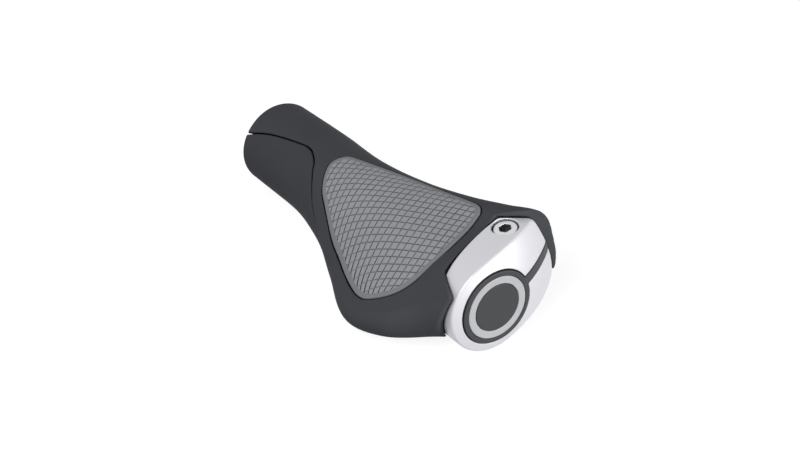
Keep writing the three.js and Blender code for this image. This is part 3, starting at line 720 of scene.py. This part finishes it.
def tile_depth(grooves):
    """Depth under the pad's top: rounded grooves between gently cushioned tiles."""
    depth = 0
    for distance in grooves:
        share = np.clip(distance / GROOVE_HALF, 0, 1)
        depth = np.maximum(depth, 1 - share**2 * (3 - 2 * share))
    cushion = np.exp(-np.minimum(*grooves) / CUSHION_REACH)
    return TILE_SINK + GROOVE_DEPTH * depth + TILE_CUSHION * cushion


def lift(x, across, depth):
    """Points at a depth under the pad's top, over places on its plane."""
    lean = math.radians(PAD_LEAN)
    low, high = np.zeros_like(x), np.full_like(x, LIFT_TOP)
    for turn in range(LIFT_STEPS):
        rise = (low + high) / 2
        y = across * math.cos(lean) - rise * math.sin(lean)
        z = across * math.sin(lean) + rise * math.cos(lean)
        below = rubber_form(x, y, z) < PAD_PROUD - depth
        low, high = np.where(below, rise, low), np.where(below, high, rise)
    return np.stack([x, y, z], axis=1)


def tile_plate(material):
    """Plate of tiles that fills the pad's recess and ends under its rim."""
    steps = np.concatenate([np.arange(-TILE_COUNT, TILE_COUNT)[:, None] + TILE_SHARES]).ravel()
    steep, shallow = np.meshgrid(steps, steps, indexing="ij")
    x, across, grooves = tile_places(steep, shallow)

    # Quads that lie inside the rim's middle are kept, and given a top, a floor and walls
    outline = outline_field(x, across, PAD_LINE)
    middle = (outline[1:, 1:] + outline[:-1, :-1] + outline[1:, :-1] + outline[:-1, 1:]) / 4
    kept = np.argwhere(middle < -TILE_RIM / 2)
    corner = [kept, kept + (1, 0), kept + (1, 1), kept + (0, 1)]
    quads = np.stack([c[:, 0] * len(steps) + c[:, 1] for c in corner], axis=1)
    used, quads = np.unique(quads, return_inverse=True)
    quads = quads.reshape(-1, 4)
    x, across = x.ravel()[used], across.ravel()[used]
    depth = tile_depth([distance.ravel()[used] for distance in grooves])
    top = lift(x, across, depth)
    floor = lift(x, across, np.full_like(x, PLATE_FLOOR))
    sides = np.stack([quads, np.roll(quads, -1, axis=1)], axis=2).reshape(-1, 2)
    edges = {tuple(side) for side in sides.tolist()}
    border = np.array([side for side in sorted(edges) if side[::-1] not in edges])
    count = len(used)
    start, end = border.T
    walls = np.stack([end, start, start + count, end + count], axis=1)
    faces = np.concatenate([quads, quads[:, ::-1] + count, walls])
    return piece_from("palm_pad_tiles", np.concatenate([top, floor]), faces, None, material,
                      "palm_pad")


# Materials

def linear(hex_colour):
    """sRGB hex to the linear colour that a shader takes."""
    parts = [int(hex_colour[i:i + 2], 16) / 255 for i in (1, 3, 5)]
    return [p / 12.92 if p <= 0.04045 else ((p + 0.055) / 1.055) ** 2.4 for p in parts] + [1]


def add(tree, kind, inputs=None, **settings):
    """One node with its settings, its values and its links."""
    made = tree.nodes.new(kind)
    for key, value in settings.items():
        setattr(made, key, value)
    for key, value in (inputs or {}).items():
        if isinstance(value, bpy.types.NodeSocket):
            tree.links.new(value, made.inputs[key])
        else:
            made.inputs[key].default_value = value
    return made


def start_material(name):
    """Empty node tree of a new material."""
    material = bpy.data.materials.new(name)
    material.use_nodes = True
    material.node_tree.nodes.clear()
    return material, material.node_tree


def finish_material(tree, shader):
    """Shader joined to the material's output."""
    add(tree, "ShaderNodeOutputMaterial", {"Surface": shader.outputs[0]})


def ramp(tree, factor, low, high):
    """Colour between two hex values."""
    made = add(tree, "ShaderNodeValToRGB", {"Fac": factor})
    made.color_ramp.elements[0].color = linear(low)
    made.color_ramp.elements[1].color = linear(high)
    return made.outputs["Color"]


def per_mm(size):
    """Texture scale for a pattern of that size in millimetres."""
    return 1 / (size * MM)


def shaded(tree, colour, shade, distance, open_share=0.75):
    """Colour that darkens where the surface is closed in: painted shade in gaps and recesses."""
    # Ambient occlusion marks the closed-in places that take the painted shade colour
    closed = add(tree, "ShaderNodeAmbientOcclusion", {"Distance": distance * MM}, samples=6)
    share = add(tree, "ShaderNodeMapRange", {
        "Value": closed.outputs["AO"], "From Min": 0.3, "From Max": open_share,
    })
    mixed = add(tree, "ShaderNodeMix", {0: share.outputs["Result"], 6: linear(shade), 7: colour},
                data_type="RGBA")
    return mixed.outputs[2]


def moulded_rubber(name, dark, light, shade, roughness, grain):
    """Moulded rubber: matt, with the fine spark-eroded grain of its mould and faint blooms, and
    painted shade darkening its gaps and recesses.
    """
    material, tree = start_material(name)
    place = add(tree, "ShaderNodeTexCoord").outputs["Object"]
    bloom = add(tree, "ShaderNodeTexNoise", {"Vector": place, "Scale": per_mm(22), "Detail": 3})
    fine = add(tree, "ShaderNodeTexNoise", {"Vector": place, "Scale": per_mm(grain), "Detail": 2})
    bump = add(tree, "ShaderNodeBump", {
        "Height": fine.outputs["Fac"], "Strength": 0.35, "Distance": 0.06 * MM,
    })
    rough = add(tree, "ShaderNodeMapRange", {
        "Value": fine.outputs["Fac"], "From Min": 0.3, "From Max": 0.7,
        "To Min": roughness - 0.06, "To Max": roughness + 0.06,
    })
    colour = ramp(tree, bloom.outputs["Fac"], dark, light)
    # Base colour carries painted shade where the rubber is closed in
    shader = add(tree, "ShaderNodeBsdfPrincipled", {
        "Base Color": shaded(tree, colour, shade, 1),
        "Roughness": rough.outputs["Result"],
        "Specular IOR Level": 0.02,
        "Normal": bump.outputs["Normal"],
    })
    finish_material(tree, shader)
    return material


def anodised_aluminium(name):
    """Forged aluminium, bead-blasted and anodised silver: pale, satin, with a soft speckle, and
    painted shade in its slot, counterbore and gaps.
    """
    material, tree = start_material(name)
    place = add(tree, "ShaderNodeTexCoord").outputs["Object"]
    speckle = add(tree, "ShaderNodeTexNoise", {"Vector": place, "Scale": per_mm(0.35), "Detail": 2})
    bump = add(tree, "ShaderNodeBump", {
        "Height": speckle.outputs["Fac"], "Strength": 0.15, "Distance": 0.03 * MM,
    })
    rough = add(tree, "ShaderNodeMapRange", {
        "Value": speckle.outputs["Fac"], "From Min": 0.3, "From Max": 0.7,
        "To Min": 0.38, "To Max": 0.46,
    })
    # Base colour darkens to a painted shade colour in the slot, counterbore and gaps
    shader = add(tree, "ShaderNodeBsdfPrincipled", {
        "Base Color": shaded(tree, linear("#e9e9ee"), "#4c4d51", 1.5, 0.6),
        "Metallic": 0.25,
        "Roughness": rough.outputs["Result"],
        "Normal": bump.outputs["Normal"],
    })
    finish_material(tree, shader)
    return material


def turned_steel(name):
    """Stainless socket screw: bright, with the uneven polish of a turned and handled head."""
    material, tree = start_material(name)
    place = add(tree, "ShaderNodeTexCoord").outputs["Object"]
    marks = add(tree, "ShaderNodeTexNoise", {"Vector": place, "Scale": per_mm(0.5), "Detail": 4})
    rough = add(tree, "ShaderNodeMapRange", {
        "Value": marks.outputs["Fac"], "From Min": 0.3, "From Max": 0.7,
        "To Min": 0.2, "To Max": 0.32,
    })
    shader = add(tree, "ShaderNodeBsdfPrincipled", {
        "Base Color": linear("#d3d4d6"),
        "Metallic": 1,
        "Roughness": rough.outputs["Result"],
    })
    finish_material(tree, shader)
    return material


def socket_shade_steel(name):
    """Broached socket walls: dark steel with a faint mottle, painted shade of the socket's depth.
    """
    material, tree = start_material(name)
    place = add(tree, "ShaderNodeTexCoord").outputs["Object"]
    mottle = add(tree, "ShaderNodeTexNoise", {"Vector": place, "Scale": per_mm(0.8), "Detail": 3})
    # Dark mottled colour is painted shade inside the socket
    shader = add(tree, "ShaderNodeBsdfPrincipled", {
        "Base Color": ramp(tree, mottle.outputs["Fac"], "#3a3b3d", "#77787a"),
        "Metallic": 0.6,
        "Roughness": 0.35,
    })
    finish_material(tree, shader)
    return material


def moulded_plastic(name, dark, light, roughness):
    """Moulded nylon or ABS: satin, with the faint unevenness of its mould."""
    material, tree = start_material(name)
    place = add(tree, "ShaderNodeTexCoord").outputs["Object"]
    cloud = add(tree, "ShaderNodeTexNoise", {"Vector": place, "Scale": per_mm(6), "Detail": 3})
    fine = add(tree, "ShaderNodeTexNoise", {"Vector": place, "Scale": per_mm(0.4), "Detail": 2})
    bump = add(tree, "ShaderNodeBump", {
        "Height": fine.outputs["Fac"], "Strength": 0.2, "Distance": 0.03 * MM,
    })
    rough = add(tree, "ShaderNodeMapRange", {
        "Value": cloud.outputs["Fac"], "From Min": 0.3, "From Max": 0.7,
        "To Min": roughness - 0.04, "To Max": roughness + 0.04,
    })
    shader = add(tree, "ShaderNodeBsdfPrincipled", {
        "Base Color": ramp(tree, cloud.outputs["Fac"], dark, light),
        "Roughness": rough.outputs["Result"],
        "IOR": 1.5,
        "Normal": bump.outputs["Normal"],
    })
    finish_material(tree, shader)
    return material


# Pieces

def make_grip():
    """All pieces in their materials. The sleeve keeps to its round part; its paddle is hidden."""
    # Each rubber's third colour is the painted shade for its gaps and recesses
    body = moulded_rubber("moulded_rubber_charcoal", "#4d4f53", "#55575b", "#101113", 0.62, 0.45)
    panel = moulded_rubber("moulded_rubber_soft", "#4b4d51", "#525458", "#101113", 0.64, 0.4)
    # Pad rim: the tiles' grey rubber, painted darker as shade
    rim_grey_painted_shade = moulded_rubber("moulded_rubber_grey_rim_painted_shade", "#909195", "#9a9b9f", "#3c3d40",
                              0.6, 0.5)
    tile_grey = moulded_rubber("moulded_rubber_grey", "#acadb1", "#b6b7bb", "#38393c", 0.64, 0.4)
    dark_nylon = moulded_plastic("moulded_nylon_black", "#26272a", "#2c2d30", 0.5)
    plug = moulded_plastic("moulded_nylon_graphite", "#2a2b2f", "#2f3034", 0.45)
    pale = moulded_plastic("moulded_abs_pale_grey", "#c8c9cd", "#d0d1d5", 0.45)
    aluminium = anodised_aluminium("anodised_aluminium")
    sleeve_box = (np.array([0, -SLEEVE_RADIUS, -SLEEVE_RADIUS]),
                  np.array([SLEEVE_LENGTH, SLEEVE_RADIUS, SLEEVE_RADIUS]))
    moulded("rubber_body", body_field, "grip_body", RUBBER_STEP, body)
    moulded("finger_panel_skin", finger_panel_field, "finger_panel", RUBBER_STEP, panel)
    moulded("palm_pad_base", pad_field, "palm_pad", PAD_STEP, rim_grey_painted_shade)
    tile_plate(tile_grey)
    moulded("clamp_ring", clamp_field, "bar_clamp", CLAMP_STEP, aluminium)
    moulded("plug_disc", plug_field, "end_plug", PLUG_STEP, plug)
    moulded("plug_face_ring", ring_field, "plug_ring", RING_STEP, pale)
    moulded("sleeve_tube", sleeve_field, "inner_sleeve", SLEEVE_STEP, dark_nylon,
            sleeve_box)
    make_screw()


def make_screw():
    """Screw and the dark cup of painted shade in its socket, made upright and then leant with the
    slot.
    """
    low = np.array([SCREW_X - HEAD_RADIUS, SCREW_REACH - HEAD_RADIUS,
                    SCREW_TOP - HEAD_HEIGHT - SCREW_LENGTH])
    high = np.array([SCREW_X + HEAD_RADIUS, SCREW_REACH + HEAD_RADIUS, SCREW_TOP])
    screw = moulded("socket_screw", screw_field, "clamp_screw", SCREW_STEP,
                    turned_steel("turned_steel"), (low, high))
    socket_shade = socket_shade_cup(socket_shade_steel("socket_shade_steel"))
    for piece in (screw, socket_shade):
        piece.data.transform(Matrix.Rotation(math.radians(SCREW_LEAN), 4, "X"))


def socket_shade_cup(material):
    """Thin hexagonal cup over the socket's walls and floor: painted shade of its depth."""
    floor, top = SCREW_TOP - SOCKET_DEPTH, SCREW_TOP - LINING_SETBACK
    corners = ((0, top), (0, floor), (LINING_WALL, top), (LINING_WALL, floor + LINING_WALL))
    rings = []
    for inset, height in corners:
        radius = (SOCKET_FLATS / 2 - LINING_GAP - inset) / math.cos(math.radians(30))
        for turn in range(30, 390, 60):
            angle = math.radians(turn)
            rings.append((SCREW_X + radius * math.cos(angle),
                          SCREW_REACH + radius * math.sin(angle), height))
    faces = [list(range(6, 12))[::-1], list(range(18, 24))]
    for k in range(6):
        after = (k + 1) % 6
        faces.append([k + 6, after + 6, after, k])
        faces.append([k + 12, after + 12, after + 18, k + 18])
        faces.append([k, after, after + 12, k + 12])
    socket_shade = piece_from("screw_socket_shade", np.array(rings), faces, None, material,
                        "clamp_screw")
    socket_shade.data.polygons.foreach_set("use_smooth", [False] * len(faces))
    return socket_shade


# Stage

def seen_directly(tree):
    """One for rays from the camera, a mirror or a clear surface, and zero for lighting rays."""
    path = add(tree, "ShaderNodeLightPath").outputs
    seen = add(tree, "ShaderNodeMath", {0: path["Is Camera Ray"], 1: path["Is Glossy Ray"]},
               operation="ADD", use_clamp=True)
    seen = add(tree, "ShaderNodeMath", {0: seen.outputs[0], 1: path["Is Transmission Ray"]},
               operation="ADD", use_clamp=True)
    return seen.outputs[0]


def make_floor():
    """Pale floor that is white to the eye and keeps the grip's shadow."""
    corners = [(FLOOR_HALF * x, FLOOR_HALF * y, 0) for x, y in ((-1, -1), (1, -1), (1, 1), (-1, 1))]
    mesh = bpy.data.meshes.new("floor")
    mesh.from_pydata(corners, [], [(0, 1, 2, 3)])
    floor = bpy.data.objects.new("floor", mesh)
    floor.location = (0, 0, CAD_BOX[0][2] - FLOOR_DROP)
    bpy.context.scene.collection.objects.link(floor)
    material, tree = start_material("floor_white")
    seen = seen_directly(tree)
    strength = add(tree, "ShaderNodeMath", {0: seen, 1: FLOOR_GLOW}, operation="MULTIPLY")
    lit = add(tree, "ShaderNodeBsdfDiffuse", {"Color": FLOOR_COLOUR})
    glow = add(tree, "ShaderNodeEmission", {"Color": WHITE, "Strength": strength.outputs[0]})
    both = add(tree, "ShaderNodeAddShader", {0: lit.outputs[0], 1: glow.outputs[0]})
    finish_material(tree, both)
    mesh.materials.append(material)


def make_world():
    """White surroundings, seen at full strength and lighting the grip more gently."""
    world = bpy.data.worlds.new("white_room")
    world.use_nodes = True
    tree = world.node_tree
    tree.nodes.clear()
    seen = seen_directly(tree)
    strength = add(tree, "ShaderNodeMapRange", {"Value": seen, "To Min": ROOM_LIGHT, "To Max": 1})
    sky = add(tree, "ShaderNodeBackground", {
        "Color": WHITE, "Strength": strength.outputs["Result"],
    })
    add(tree, "ShaderNodeOutputWorld", {"Surface": sky.outputs[0]})
    bpy.context.scene.world = world


def soft_lamp(name, place, size, power):
    """Square studio lamp, in metres and watts, that faces the middle of the grip."""
    lamp = bpy.data.lights.new(name, "AREA")
    lamp.shape = "SQUARE"
    lamp.size = size
    lamp.energy = power
    made = bpy.data.objects.new(name, lamp)
    made.location = place
    made.rotation_euler = facing(np.array(place) - LAMP_TARGET).to_euler()
    bpy.context.scene.collection.objects.link(made)


def facing(back):
    """Turn that sends the local Z axis along back, with the X axis level."""
    back = np.asarray(back, float) / np.linalg.norm(back)
    right = np.cross((0, 0, 1), back)
    right /= np.linalg.norm(right)
    up = np.cross(back, right)
    return Matrix(np.stack([right, up, back], axis=1).tolist())


def make_camera():
    """Camera of the photograph."""
    azimuth, elevation = math.radians(CAMERA_AZIMUTH), math.radians(CAMERA_ELEVATION)
    back = np.array([
        math.cos(azimuth) * math.cos(elevation),
        -math.sin(azimuth) * math.cos(elevation),
        math.sin(elevation),
    ])
    turn = facing(back)
    aside = np.array(turn) @ np.array([*CAMERA_ASIDE, CAMERA_DISTANCE])
    camera = bpy.data.cameras.new("camera")
    camera.lens = CAMERA_LENS
    camera.sensor_width = CAMERA_SENSOR
    camera.clip_start = 0.01
    made = bpy.data.objects.new("camera", camera)
    made.location = aside * MM
    made.rotation_euler = turn.to_euler()
    bpy.context.scene.collection.objects.link(made)
    bpy.context.scene.camera = made


make_grip()
make_floor()
make_world()
soft_lamp("key_lamp", (0.45, -0.75, 0.75), 0.6, 7)
soft_lamp("end_lamp", (1.1, 0.5, 0.1), 0.5, 10)
make_camera()
bpy.context.scene.view_settings.view_transform = "Standard"
